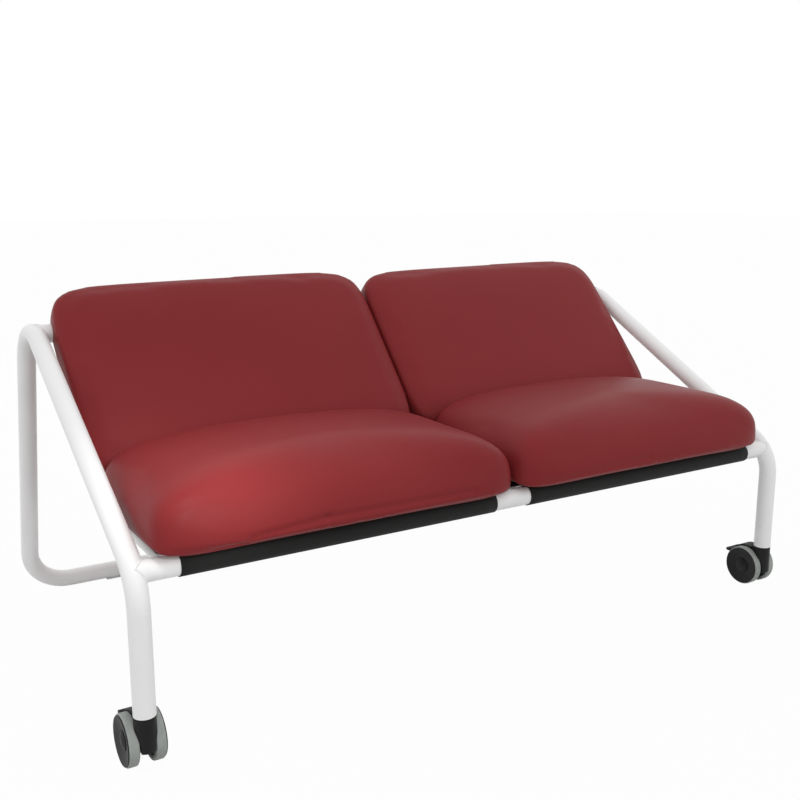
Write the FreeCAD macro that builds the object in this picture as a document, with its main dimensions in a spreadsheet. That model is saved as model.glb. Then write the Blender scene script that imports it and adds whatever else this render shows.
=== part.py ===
import FreeCAD, Part
import math
import os
import types

import Sketcher

# Two-seat office sofa. White bent tubes carry two black slings on L-shaped ribs, a seat cushion lies on
# each sling and a back cushion slips over each back. Twin-wheel casters are under the front legs and a
# floor rail with glides is at the back. X runs along the sofa, Y to its back, Z up from the floor.
# Pieces are drawn with Y = 0 on the front legs' axes, and then moved so that the origin is mid-depth.

V = FreeCAD.Vector

SIZES = (
    # Frame tubes
    ("tube_diameter", 38),
    ("tube_wall", 2),
    ("bend_radius", 92),
    ("arm_gap", 16),
    ("leg_end_height", 99),
    ("front_corner_height", 332),
    ("slope_angle", 27.7),
    ("apex_reach", 684),
    ("rear_lean", 15.4),
    ("front_rail_turn", 39.8),
    ("top_rail_turn", 19.1),
    ("weld_gap", 0.2),
    ("rear_joint_drop", 190),
    ("spigot_length", 110),
    ("spigot_wall", 3),
    ("spigot_clearance", 0.2),
    # Glides
    ("glide_thickness", 2),
    ("glide_length", 34),
    ("glide_width", 20),
    ("glide_lip", 3),
    ("glide_peg_diameter", 6),
    ("glide_peg_height", 9),
    ("glide_clearance", 0.1),
    ("glide_inner_place", 190),
    ("glide_corner_distance", 194),
    # Ribs
    ("rib_diameter", 22),
    ("rib_wall", 2),
    ("rib_bend_radius", 80),
    ("rib_inset", 10),
    ("back_angle", 48),
    # Slings
    ("sling_inset", 9),
    ("sling_thickness", 2),
    ("sling_clearance", 0.2),
    ("sleeve_inset", 30),
    ("sleeve_thickness", 1.5),
    ("sleeve_clearance", 0.3),
    ("sleeve_lap", 4),
    # Cushions
    ("cover_thickness", 2),
    ("foam_clearance", 0.4),
    ("cushion_clearance", 0.4),
    ("cushion_gap", 1),
    ("side_fullness", 5),
    ("face_fullness", 1),
    ("seat_width", 716),
    ("middle_gap", 6),
    ("seat_overhang", 28),
    ("seat_thickness", 99),
    ("seat_crown", 22),
    ("seat_rear_crown", 18),
    ("seat_nose_depth", 58),
    ("seat_nose_share", 0.45),
    ("seat_brow_drop", 4),
    ("seat_tuck", 20),
    ("seat_front_draw", 36),
    ("seat_top_draw", 30),
    ("seat_base_draw", 12),
    ("seat_rear_draw", 10),
    ("back_spread", 2),
    ("back_front", 58),
    ("back_rear", 34),
    ("back_crown", 12),
    ("back_top", 512),
    ("back_roll", 36),
    ("back_nape_inset", 8),
    ("back_crest_shift", 4),
    ("back_spine", 3),
    ("back_bottom_height", 380),
    ("back_top_draw", 60),
    ("back_front_draw", 24),
    ("back_rear_draw", 7),
    ("back_bottom_draw", 12),
    ("pocket_wall", 8),
    ("pocket_clearance", 2),
    ("pocket_overrun", 130),
    ("bore_clearance", 0.5),
    # Casters
    ("wheel_diameter", 90),
    ("wheel_width", 20),
    ("wheel_gap", 26),
    ("trail", 32),
    ("flange_thickness", 1.6),
    ("swivel_gap", 0.4),
    ("plug_length", 45),
    ("plug_clearance", 0.2),
    ("stem_diameter", 11),
    ("stem_depth", 45),
    ("stem_chamfer", 1.1),
    ("running_clearance", 0.05),
    ("axle_diameter", 8),
    ("axle_boss_ratio", 2),
    ("neck_bottom", 38),
    ("neck_shoulder", 5.5),
    ("web_bottom", 27),
    ("web_gap", 1),
    ("wheel_clearance", 1.5),
    ("hood_thickness", 2.5),
    ("hood_width", 30),
    ("hood_front", 1),
    ("hood_end_height", 69),
    ("lever_pin_diameter", 4),
    ("lever_lug_ratio", 2),
    ("lever_eye_ratio", 1.4),
    ("lever_eye_roundness", 0.9),
    ("slot_room", 10),
    ("slot_drop", 15),
    ("lever_pivot_back", 26),
    ("lever_pivot_up", 24),
    ("lever_width", 15),
    ("lever_clearance", 0.5),
    ("pedal_width", 40),
    ("pedal_reach", 18),
    ("pedal_length", 12),
    ("pedal_thickness", 7),
    ("pedal_roundness", 0.8),
    ("tyre_thickness", 5.5),
    ("tyre_inset", 0.4),
    ("tyre_roundness", 0.55),
    ("disc_flange", 1.6),
    ("disc_step", 2.2),
    ("disc_dish", 4.5),
    ("hub_boss_diameter", 21),
    ("rim_thickness", 3.5),
    ("hub_recess", 5),
    ("cap_diameter", 33),
    ("cap_seat", 6.5),
    ("cap_rise", 6),
    ("cap_flatness", 0.4),
    ("cap_clearance", 0.2),
)


class Size:
    """A length, an angle or a ratio: its number, and its formula in the cells of the sheet."""

    def __init__(self, value, formula):
        self.value = value
        self.formula = formula

    def joined(self, other, sign, value):
        return Size(value, "(%s %s %s)" % (self.formula, sign, other.formula))

    def __add__(self, other):
        other = as_size(other)
        return self.joined(other, "+", self.value + other.value)

    def __sub__(self, other):
        other = as_size(other)
        return self.joined(other, "-", self.value - other.value)

    def __mul__(self, other):
        other = as_size(other)
        return self.joined(other, "*", self.value * other.value)

    def __truediv__(self, other):
        other = as_size(other)
        return self.joined(other, "/", self.value / other.value)

    def __radd__(self, other):
        return as_size(other) + self

    def __rsub__(self, other):
        return as_size(other) - self

    def __rmul__(self, other):
        return as_size(other) * self

    def __neg__(self):
        return 0 - self


def as_size(amount):
    if isinstance(amount, Size):
        return amount
    return Size(float(amount), "%s" % amount)


def sine(angle):
    return Size(math.sin(math.radians(angle.value)), "sin(%s)" % angle.formula)


def cosine(angle):
    return Size(math.cos(math.radians(angle.value)), "cos(%s)" % angle.formula)


def tangent(angle):
    return Size(math.tan(math.radians(angle.value)), "tan(%s)" % angle.formula)


def root(amount):
    return Size(math.sqrt(amount.value), "sqrt(%s)" % amount.formula)


doc = FreeCAD.newDocument("office_sofa")
sheet = doc.addObject("Spreadsheet::Sheet", "Sizes")
size = types.SimpleNamespace()


def enter(row, name, text, value):
    sheet.set("A%d" % row, name)
    sheet.set("B%d" % row, text)
    sheet.setAlias("B%d" % row, name)
    setattr(size, name, Size(value, "Sizes." + name))


for line, (cell_name, number) in enumerate(SIZES, 1):
    enter(line, cell_name, str(number), float(number))

derived_rows = iter(range(len(SIZES) + 2, 1000))


def derive(name, amount):
    """Keep a worked-out size in a cell of its own."""
    enter(next(derived_rows), name, "=" + amount.formula.replace("Sizes.", ""), amount.value)


# Places that follow from the driving sizes
derive("tube_radius", size.tube_diameter / 2)
derive("seat_centre", (size.seat_width + size.middle_gap) / 2)
derive("side_place", size.seat_centre + size.seat_width / 2 + size.arm_gap + size.tube_radius)
derive("side_spacing", 2 * size.side_place)
derive("glide_outer_place", size.side_place - size.glide_corner_distance)
derive("apex_height", size.front_corner_height + size.apex_reach * tangent(size.slope_angle))
derive("floor_rail_height", size.glide_thickness + size.tube_radius)
derive("rear_drop", size.apex_height - size.floor_rail_height)
derive("floor_rail_reach", size.apex_reach + size.rear_drop * tangent(size.rear_lean))
derive("front_setback", size.bend_radius * tangent((90 - size.slope_angle) / 2))
derive("front_rail_reach", size.bend_radius * (1 - cosine(size.front_rail_turn)))
derive("front_rail_height", size.front_corner_height - size.front_setback
       + size.bend_radius * sine(size.front_rail_turn))
derive("top_setback", size.bend_radius * tangent((90 + size.slope_angle - size.rear_lean) / 2))
derive("top_arc_reach", size.apex_reach - size.top_setback * cosine(size.slope_angle)
       + size.bend_radius * sine(size.slope_angle))
derive("top_arc_height", size.apex_height - size.top_setback * sine(size.slope_angle)
       - size.bend_radius * cosine(size.slope_angle))
derive("top_rail_angle", size.slope_angle - size.top_rail_turn)
derive("top_rail_reach", size.top_arc_reach - size.bend_radius * sine(size.top_rail_angle))
derive("top_rail_height", size.top_arc_height + size.bend_radius * cosine(size.top_rail_angle))
derive("rear_leg_length", size.rear_drop / cosine(size.rear_lean))
derive("rib_height", size.front_rail_height + size.tube_radius - size.rib_diameter / 2)
derive("back_rise", size.top_rail_height - size.rib_height)
derive("knee_reach", size.top_rail_reach - size.back_rise / tangent(size.back_angle))
derive("sling_width", size.seat_width - 2 * size.sling_inset)
derive("sleeve_length", size.sling_width - 2 * size.sleeve_inset)
derive("rib_inner_place", size.seat_centre - size.sling_width / 2 + size.rib_inset)
derive("rib_outer_place", size.seat_centre + size.sling_width / 2 - size.rib_inset)
derive("sling_base", size.rib_diameter / 2 + size.sling_clearance)
derive("sling_top", size.sling_base + size.sling_thickness)
derive("sleeve_inner", size.tube_radius + size.sleeve_clearance)
derive("sleeve_outer", size.sleeve_inner + size.sleeve_thickness)
derive("seat_base", size.rib_height + size.sling_top + size.cushion_clearance)
derive("crease_height", size.seat_base + size.seat_thickness + size.seat_rear_crown)
derive("back_width", size.seat_width + 2 * size.back_spread)
derive("pocket_width", size.back_width - 2 * size.pocket_wall)
derive("wheel_radius", size.wheel_diameter / 2)
derive("neck_top", size.leg_end_height - size.flange_thickness - size.swivel_gap)
derive("web_width", size.wheel_gap - 2 * size.web_gap)
derive("tyre_inner", size.wheel_radius - size.tyre_thickness)
derive("disc_radius", size.wheel_radius - size.disc_step)
derive("disc_start", size.wheel_width - size.disc_flange)
derive("depth_centre", (size.floor_rail_reach + size.tube_radius - size.seat_overhang) / 2)

doc.recompute()

made = []


def finish(piece, name, place=None):
    """Name a sub-part and put it where it belongs, with the origin at mid-depth."""
    piece.Label = name
    shift = FreeCAD.Placement(V(0, -size.depth_centre.value, 0), FreeCAD.Rotation())
    if place is not None:
        shift = shift.multiply(place)
    piece.Placement = shift.multiply(piece.Placement)
    made.append(piece)


# Sketches and features

def new_body(name):
    return doc.addObject("PartDesign::Body", name + "_body")


def sketch_in(body, role, name, lift=None):
    sketch = body.newObject("Sketcher::SketchObject", name)
    plane = next(feature for feature in body.Origin.OriginFeatures if feature.Role == role)
    sketch.AttachmentSupport = [(plane, "")]
    sketch.MapMode = "FlatFace"
    if lift is not None:
        sketch.setExpression("AttachmentOffset.Base.z", as_size(lift).formula)
    return sketch


def bind(sketch, kind, *where_and_size):
    amount = where_and_size[-1]
    index = sketch.addConstraint(Sketcher.Constraint(kind, *where_and_size[:-1], amount.value))
    sketch.setExpression("Constraints[%d]" % index, amount.formula)


def hold(sketch, geometry, end, spot):
    """Fix a point of the sketch at its two coordinates. Its axes are -1, across, and -2, up."""
    for kind, axis, amount in (("DistanceX", -2, spot[0]), ("DistanceY", -1, spot[1])):
        if amount.value == 0:
            sketch.addConstraint(Sketcher.Constraint("PointOnObject", geometry, end, axis))
        else:
            bind(sketch, kind, -1, 1, geometry, end, amount)


def outline(sketch, corners, closed=True):
    """Straight runs from corner to corner, with a tangent arc where a corner has a radius."""
    spots = [(as_size(corner[0]), as_size(corner[1])) for corner in corners]
    radii = [as_size(corner[2]) if len(corner) > 2 else None for corner in corners]
    points = [V(x.value, y.value, 0) for x, y in spots]
    count = len(points)
    arrive = list(points)
    leave = list(points)
    arcs = [None] * count
    left_turn = [True] * count
    for i, radius in enumerate(radii):
        if radius is None:
            continue
        into = (points[i] - points[i - 1]).normalize()
        out = (points[(i + 1) % count] - points[i]).normalize()
        half_turn = into.getAngle(out) / 2
        arrive[i] = points[i] - into * (radius.value * math.tan(half_turn))
        leave[i] = points[i] + out * (radius.value * math.tan(half_turn))
        centre = points[i] + (out - into).normalize() * (radius.value / math.cos(half_turn))
        left_turn[i] = into.cross(out).z > 0
        first, last = (arrive[i], leave[i]) if left_turn[i] else (leave[i], arrive[i])
        angles = [math.atan2(end.y - centre.y, end.x - centre.x) for end in (first, last)]
        arcs[i] = Part.ArcOfCircle(Part.Circle(centre, V(0, 0, 1), radius.value), *angles)
    runs = []
    bends = {}
    for i in range(count if closed else count - 1):
        following = (i + 1) % count
        runs.append(sketch.addGeometry(Part.LineSegment(leave[i], arrive[following]), False))
        if arcs[following] is not None:
            bends[following] = sketch.addGeometry(arcs[following], False)
    for i in range(count):
        if not closed and i == 0:
            hold(sketch, runs[0], 1, spots[0])
        elif not closed and i == count - 1:
            hold(sketch, runs[-1], 2, spots[-1])
        elif i in bends:
            start, end = (1, 2) if left_turn[i] else (2, 1)
            sketch.addConstraint(Sketcher.Constraint("Tangent", runs[i - 1], 2, bends[i], start))
            sketch.addConstraint(Sketcher.Constraint("Tangent", bends[i], end, runs[i], 1))
            bind(sketch, "Radius", bends[i], radii[i])
            corner = sketch.addGeometry(Part.Point(points[i]), True)
            sketch.addConstraint(Sketcher.Constraint("PointOnObject", corner, 1, runs[i - 1]))
            sketch.addConstraint(Sketcher.Constraint("PointOnObject", corner, 1, runs[i]))
            hold(sketch, corner, 1, spots[i])
        else:
            sketch.addConstraint(Sketcher.Constraint("Coincident", runs[i - 1], 2, runs[i], 1))
            hold(sketch, runs[i], 1, spots[i])


def circle(sketch, spot, diameter):
    spot = [as_size(amount) for amount in spot]
    centre = V(spot[0].value, spot[1].value, 0)
    geometry = sketch.addGeometry(Part.Circle(centre, V(0, 0, 1), diameter.value / 2), False)
    hold(sketch, geometry, 3, spot)
    bind(sketch, "Diameter", geometry, diameter)


def pad(body, sketch, length, symmetric=False):
    feature = body.newObject("PartDesign::Pad", sketch.Name + "_pad")
    feature.Profile = sketch
    feature.setExpression("Length", length.formula)
    if symmetric:
        feature.SideType = "Symmetric"
    doc.recompute()


def pocket(body, sketch, length=None, reverse=False):
    """Cut through everything both ways, or to a depth on one side of the sketch."""
    before = body.Shape.Volume
    feature = body.newObject("PartDesign::Pocket", sketch.Name + "_pocket")
    feature.Profile = sketch
    if length is None:
        feature.Type = "ThroughAll"
        feature.SideType = "Symmetric"
    else:
        feature.setExpression("Length", length.formula)
        feature.Reversed = reverse
    doc.recompute()
    if body.Shape.Volume >= before:
        raise ValueError("%s cuts nothing" % sketch.Name)


def turn(body, sketch):
    feature = body.newObject("PartDesign::Revolution", sketch.Name + "_turn")
    feature.Profile = sketch
    feature.ReferenceAxis = (sketch, ["H_Axis"])
    feature.Angle = 360
    doc.recompute()


def pipe(body, path, section):
    feature = body.newObject("PartDesign::AdditivePipe", path.Name + "_pipe")
    feature.Profile = section
    doc.recompute()
    feature.Spine = (path, ["Edge%d" % (i + 1) for i in range(len(path.Shape.Edges))])
    doc.recompute()


def cut(base, *tools):
    """Take each tool's solid away from the base."""
    result = base
    for tool in tools:
        step = doc.addObject("Part::Cut", "cut")
        step.Base = result
        step.Tool = tool
        result = step
    doc.recompute()
    return result


def rod(name, diameter, length, place):
    """A plain cylinder along X, centred on a place given as reach and height."""
    bar = doc.addObject("Part::Cylinder", name)
    bar.setExpression("Radius", (diameter / 2).formula)
    bar.setExpression("Height", length.formula)
    bar.Placement = FreeCAD.Placement(V(), FreeCAD.Rotation(V(0, 1, 0), 90))
    bar.setExpression(".Placement.Base.x", (-length / 2).formula)
    bar.setExpression(".Placement.Base.y", place[0].formula)
    bar.setExpression(".Placement.Base.z", place[1].formula)
    return bar


# Side tubes: front leg, sloping arm, top bend and the upper end of the rear leg, in one plane

SIDES = (("left", -1), ("right", 1))
side_path = (
    (0, size.leg_end_height),
    (0, size.front_corner_height, size.bend_radius),
    (size.apex_reach, size.apex_height, size.bend_radius),
    (size.apex_reach + size.rear_joint_drop * sine(size.rear_lean),
     size.apex_height - size.rear_joint_drop * cosine(size.rear_lean)),
)


def side_sweep(name, side, diameters):
    body = new_body(name)
    path = sketch_in(body, "YZ_Plane", name + "_path", side * size.side_place)
    outline(path, side_path, closed=False)
    section = sketch_in(body, "XY_Plane", name + "_section", size.leg_end_height)
    for diameter in diameters:
        circle(section, (side * size.side_place, 0), diameter)
    pipe(body, path, section)
    return body


tube_bore = size.tube_diameter - 2 * size.tube_wall
weld_copes = []
for side_name, side in SIDES:
    tube = side_sweep(side_name + "_side_tube", side, (size.tube_diameter, tube_bore))
    finish(tube, side_name + "_side_tube")
    weld_copes.append(side_sweep(side_name + "_cope", side, (size.tube_diameter + 2 * size.weld_gap,)))


# Rear floor tube: both rear legs and the floor rail, bent in one leaning plane

floor_body = new_body("rear_floor_tube")
leg_top = size.rear_leg_length - size.rear_joint_drop - size.weld_gap
floor_path = sketch_in(floor_body, "XZ_Plane", "rear_floor_path")
outline(floor_path, (
    (-size.side_place, leg_top),
    (-size.side_place, 0, size.bend_radius),
    (size.side_place, 0, size.bend_radius),
    (size.side_place, leg_top),
), closed=False)
floor_section = sketch_in(floor_body, "XY_Plane", "rear_floor_section", leg_top)
for diameter in (size.tube_diameter, tube_bore):
    circle(floor_section, (-size.side_place, 0), diameter)
pipe(floor_body, floor_path, floor_section)
floor_body.Placement = FreeCAD.Placement(V(), FreeCAD.Rotation(V(1, 0, 0), size.rear_lean.value))
floor_body.setExpression(".Placement.Base.y", size.floor_rail_reach.formula)
floor_body.setExpression(".Placement.Base.z", size.floor_rail_height.formula)
doc.recompute()

GLIDE_PLACES = (
    -size.glide_outer_place,
    -size.glide_inner_place,
    size.glide_inner_place,
    size.glide_outer_place,
)


def peg(name, place, diameter):
    pin = doc.addObject("Part::Cylinder", name)
    pin.setExpression("Radius", (diameter / 2).formula)
    pin.setExpression("Height", size.glide_peg_height.formula)
    pin.setExpression(".Placement.Base.x", place.formula)
    pin.setExpression(".Placement.Base.y", size.floor_rail_reach.formula)
    pin.setExpression(".Placement.Base.z", (size.glide_thickness / 2).formula)
    return pin


peg_hole_diameter = size.glide_peg_diameter + 2 * size.glide_clearance
peg_holes = [peg("peg_hole", place, peg_hole_diameter) for place in GLIDE_PLACES]
finish(cut(floor_body, *peg_holes), "rear_floor_tube")


# Spigots: short tubes inside the joints between the rear legs and the side tubes

spigot_diameter = tube_bore - 2 * size.spigot_clearance
spigots = []
for side_name, side in SIDES:
    layers = []
    for diameter in (spigot_diameter, spigot_diameter - 2 * size.spigot_wall):
        bar = doc.addObject("Part::Cylinder", side_name + "_spigot")
        bar.setExpression("Radius", (diameter / 2).formula)
        bar.setExpression("Height", size.spigot_length.formula)
        start = size.rear_joint_drop + size.spigot_length / 2
        bar.Placement = FreeCAD.Placement(V(), FreeCAD.Rotation(V(1, 0, 0), size.rear_lean.value))
        bar.setExpression(".Placement.Base.x", (side * size.side_place).formula)
        bar.setExpression(".Placement.Base.y", (size.apex_reach + start * sine(size.rear_lean)).formula)
        bar.setExpression(".Placement.Base.z", (size.apex_height - start * cosine(size.rear_lean)).formula)
        layers.append(bar)
    spigots.append(cut(*layers))
pair = doc.addObject("Part::Compound", "rear_leg_spigots")
pair.Links = spigots
doc.recompute()
finish(pair, "rear_leg_spigots")


# Glides: flat pads with a saddle for the floor rail and a peg through its wall

glides = []
rail_place = (size.floor_rail_reach, size.floor_rail_height)
for place in GLIDE_PLACES:
    block = doc.addObject("Part::Box", "glide_block")
    block.setExpression("Length", size.glide_length.formula)
    block.setExpression("Width", size.glide_width.formula)
    block.setExpression("Height", (size.glide_thickness + size.glide_lip).formula)
    block.setExpression(".Placement.Base.x", (place - size.glide_length / 2).formula)
    block.setExpression(".Placement.Base.y", (size.floor_rail_reach - size.glide_width / 2).formula)
    saddle = rod("glide_saddle", size.tube_diameter + 2 * size.glide_clearance, size.side_spacing, rail_place)
    joined = doc.addObject("Part::Fuse", "glide")
    joined.Base = cut(block, saddle)
    joined.Tool = peg("glide_peg", place, size.glide_peg_diameter)
    glides.append(joined)
group = doc.addObject("Part::Compound", "floor_glides")
group.Links = glides
doc.recompute()
finish(group, "floor_glides")


# Front rail and top rail: straight tubes, coped to the bends of the side tubes

RAILS = (
    ("front_rail", (size.front_rail_reach, size.front_rail_height)),
    ("top_rail", (size.top_rail_reach, size.top_rail_height)),
)
for rail_name, place in RAILS:
    body = new_body(rail_name)
    ring = sketch_in(body, "YZ_Plane", rail_name + "_ring")
    for diameter in (size.tube_diameter, tube_bore):
        circle(ring, place, diameter)
    pad(body, ring, size.side_spacing, symmetric=True)
    finish(cut(body, *weld_copes), rail_name)


# Ribs: L-shaped tubes under the slings, coped to both rails

RIBS = (
    ("left_outer_rib", -size.rib_outer_place),
    ("left_inner_rib", -size.rib_inner_place),
    ("right_inner_rib", size.rib_inner_place),
    ("right_outer_rib", size.rib_outer_place),
)
rail_copes = [
    rod(rail_name + "_cope", size.tube_diameter + 2 * size.weld_gap, size.side_spacing, place)
    for rail_name, place in RAILS
]
for rib_name, place in RIBS:
    body = new_body(rib_name)
    path = sketch_in(body, "YZ_Plane", rib_name + "_path", place)
    outline(path, (
        (size.front_rail_reach, size.rib_height),
        (size.knee_reach, size.rib_height, size.rib_bend_radius),
        (size.top_rail_reach, size.top_rail_height),
    ), closed=False)
    section = sketch_in(body, "XZ_Plane", rib_name + "_section", -size.front_rail_reach)
    for diameter in (size.rib_diameter, size.rib_diameter - 2 * size.rib_wall):
        circle(section, (place, size.rib_height), diameter)
    pipe(body, path, section)
    finish(cut(body, *rail_copes), rib_name)


# Slings: black textile sheets that follow the ribs, sewn to a sleeve round each rail

def sling_line(offset):
    """Half of the sheet's outline: its front end, knee and top end, at a height above the ribs' axes."""
    middle = (size.sleeve_inner + size.sleeve_outer) / 2
    stop = size.back_rise / sine(size.back_angle) - root(middle * middle - offset * offset)
    return (
        (size.front_rail_reach + size.sleeve_lap, size.rib_height + offset),
        (size.knee_reach - offset * tangent(size.back_angle / 2), size.rib_height + offset,
         size.rib_bend_radius - offset),
        (size.knee_reach + stop * cosine(size.back_angle) - offset * sine(size.back_angle),
         size.rib_height + stop * sine(size.back_angle) + offset * cosine(size.back_angle)),
    )


for side_name, side in SIDES:
    sling_name = side_name + "_sling"
    body = new_body(sling_name)
    sheet_outline = sketch_in(body, "YZ_Plane", sling_name + "_sheet", side * size.seat_centre)
    outline(sheet_outline, sling_line(size.sling_base) + sling_line(size.sling_top)[::-1])
    pad(body, sheet_outline, size.sling_width, symmetric=True)
    for rail_name, place in RAILS:
        ring = sketch_in(body, "YZ_Plane", sling_name + "_" + rail_name, side * size.seat_centre)
        for radius in (size.sleeve_outer, size.sleeve_inner):
            circle(ring, place, 2 * radius)
        pad(body, ring, size.sleeve_length, symmetric=True)
    finish(body, sling_name)


# Cushions: lofts across the sofa, full in the middle and drawn in towards both sides

HALF_PLACES = (0.25, 0.45, 0.62, 0.76, 0.87, 0.94, 0.98, 1)
SECTION_PLACES = [-place for place in reversed(HALF_PLACES)] + [0] + list(HALF_PLACES)


def drawn_in(place):
    """How far a section is drawn in: 0 in a cushion's middle, 1 at its sides, on a full rounded curve."""
    power = size.side_fullness.value
    return 1 - (1 - abs(place) ** power) ** (1 / power)


def closed_wire(edges):
    return Part.Wire([edge.toShape() for edge in edges])


def seat_section(x, draw, crown, shrink):
    """The seat's side view: flat base, rounded nose, crowned top and a back face that leans with the back."""
    base = size.seat_base.value + size.seat_base_draw.value * draw + shrink
    top = size.seat_base.value + size.seat_thickness.value - size.seat_top_draw.value * draw - shrink
    front = -size.seat_overhang.value + size.seat_front_draw.value * draw + shrink
    face = size.back_front.value + size.cushion_gap.value + size.seat_rear_draw.value * draw + shrink

    def rear_reach(height):
        return back_point(x, along_at(height, face), face).y

    share = size.seat_nose_share.value
    tuck = V(x, front + size.seat_tuck.value, base)
    nose = V(x, front, base + share * (top - base))
    brow = V(x, front + size.seat_nose_depth.value, top - size.seat_brow_drop.value)
    rear_height = top + size.seat_rear_crown.value * crown
    rear_top = V(x, rear_reach(rear_height), rear_height)
    rear_base = V(x, rear_reach(base), base)
    crest = V(x, (brow.y + rear_top.y) / 2, top + size.seat_crown.value * crown)
    return closed_wire((
        Part.Arc(tuck, nose_arc_middle(nose, tuck), nose),
        Part.Arc(nose, nose_arc_middle(nose, brow), brow),
        Part.Arc(brow, crest, rear_top),
        Part.LineSegment(rear_top, rear_base),
        Part.LineSegment(rear_base, tuck),
    ))


def nose_arc_middle(nose, end):
    """The middle of the arc that leaves the nose upright and ends at a point behind it."""
    back = end.y - nose.y
    up = end.z - nose.z
    radius = (back * back + up * up) / (2 * back)
    half_turn = math.atan2(up, radius - back) / 2
    return nose + V(0, radius - radius * math.cos(half_turn), radius * math.sin(half_turn))


def back_point(x, along, outward):
    """A place on the back: how far up along the ribs, and how far in front of their axes."""
    lean = math.radians(size.back_angle.value)
    return V(
        x,
        size.knee_reach.value + along * math.cos(lean) - outward * math.sin(lean),
        size.rib_height.value + along * math.sin(lean) + outward * math.cos(lean),
    )


def along_at(height, outward):
    """How far up along the ribs a height is met, at a distance in front of their axes."""
    lean = math.radians(size.back_angle.value)
    return (height - size.rib_height.value - outward * math.cos(lean)) / math.sin(lean)


def back_face(x, front, bottom, shoulder, crown):
    """The back's front face from the bottom up: flat where the seat cushion meets it, and full above."""
    crease_along = along_at(size.crease_height.value, front)
    fullness = size.back_crown.value * crown + size.face_fullness.value
    toe = back_point(x, along_at(bottom, front), front)
    crease = back_point(x, crease_along, front)
    belly = back_point(x, (crease_along + shoulder) / 2, front + fullness)
    brow = back_point(x, shoulder, front)
    return [Part.LineSegment(toe, crease), Part.Arc(crease, belly, brow)]


def back_section(x, draw, crown, shrink):
    """The back's side view: a full front, a rolled top and a thinner rear panel, level at the bottom."""
    front = size.back_front.value - size.back_front_draw.value * draw - shrink
    rear = -size.back_rear.value + size.back_rear_draw.value * draw + shrink
    top = size.back_top.value - size.back_top_draw.value * draw - shrink
    shoulder = top - size.back_roll.value
    bottom = size.back_bottom_height.value + size.back_bottom_draw.value * draw + shrink
    face = back_face(x, front, bottom, shoulder, crown)
    crest = back_point(x, top, (front + rear) / 2 + size.back_crest_shift.value)
    nape = back_point(x, shoulder, rear + size.back_nape_inset.value)
    spine = back_point(x, (along_at(bottom, rear) + shoulder) / 2, rear - size.back_spine.value)
    heel = back_point(x, along_at(bottom, rear), rear)
    return closed_wire(face + [
        Part.Arc(face[-1].EndPoint, crest, nape),
        Part.Arc(nape, spine, heel),
        Part.LineSegment(heel, face[0].StartPoint),
    ])


def back_foam_section(x, draw, crown, shrink):
    """The foam in the front of the back cushion, in front of the pocket for the ribs and the rail."""
    front = size.back_front.value - size.back_front_draw.value * draw - shrink
    rear = size.sleeve_outer.value + size.bore_clearance.value + shrink
    shoulder = size.back_top.value - size.back_top_draw.value * draw - shrink - size.back_roll.value
    bottom = size.back_bottom_height.value + size.back_bottom_draw.value * draw + shrink
    face = back_face(x, front, bottom, shoulder, crown)
    nape = back_point(x, shoulder, rear)
    heel = back_point(x, along_at(bottom, rear), rear)
    return closed_wire(face + [
        Part.LineSegment(face[-1].EndPoint, nape),
        Part.LineSegment(nape, heel),
        Part.LineSegment(heel, face[0].StartPoint),
    ])


def cushion(section, width, middle, shrink):
    """A loft through sections across the sofa, every face of it moved in by the shrink."""
    half = width / 2 - shrink
    wires = []
    for place in SECTION_PLACES:
        crown = 1 - place * place
        wires.append(section(middle + place * half, drawn_in(place), crown, shrink))
    return Part.makeLoft(wires, True, True)


def soft_piece(name, shape):
    piece = doc.addObject("Part::Feature", name + "_solid")
    piece.Shape = shape
    finish(piece, name)


def back_pocket(middle):
    """Room inside the back cushion for the ribs, the sling and the top rail."""
    rib_side = size.rib_diameter.value / 2 + size.pocket_clearance.value
    sling_side = size.sling_top.value + size.pocket_clearance.value
    rail_along = along_at(size.top_rail_height.value, 0)
    start = middle - size.pocket_width.value / 2
    corners = [
        back_point(start, -size.pocket_overrun.value, -rib_side),
        back_point(start, -size.pocket_overrun.value, sling_side),
        back_point(start, rail_along, sling_side),
        back_point(start, rail_along, -rib_side),
    ]
    slab = Part.Face(Part.makePolygon(corners + corners[:1])).extrude(V(size.pocket_width.value, 0, 0))
    reach = size.back_width.value
    bore = Part.makeCylinder(
        size.sleeve_outer.value + size.bore_clearance.value,
        2 * reach,
        V(middle - reach, size.top_rail_reach.value, size.top_rail_height.value),
        V(1, 0, 0),
    )
    return slab.fuse(bore)


cover = size.cover_thickness.value
core_inset = cover + size.foam_clearance.value
for side_name, side in SIDES:
    middle = side * size.seat_centre.value
    seat = cushion(seat_section, size.seat_width.value, middle, 0)
    hollow = cushion(seat_section, size.seat_width.value, middle, cover)
    soft_piece(side_name + "_seat_cushion", seat.cut(hollow))
    soft_piece(side_name + "_seat_foam", cushion(seat_section, size.seat_width.value, middle, core_inset))
    back = cushion(back_section, size.back_width.value, middle, 0)
    hollow = cushion(back_foam_section, size.back_width.value, middle, cover)
    soft_piece(side_name + "_back_cushion", back.cut(back_pocket(middle)).cut(hollow))
    core = cushion(back_foam_section, size.back_width.value, middle, core_inset)
    soft_piece(side_name + "_back_foam", core)


# Casters: a plug and stem in each leg, a housing that swivels on the stem, two wheels and a brake lever

def at_leg(side, across=0, back=0, up=0, half_turn=False):
    angle = 180 if half_turn else 0
    return FreeCAD.Placement(
        V(side * size.side_place.value + across, back, up),
        FreeCAD.Rotation(V(0, 0, 1), angle),
    )


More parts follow.
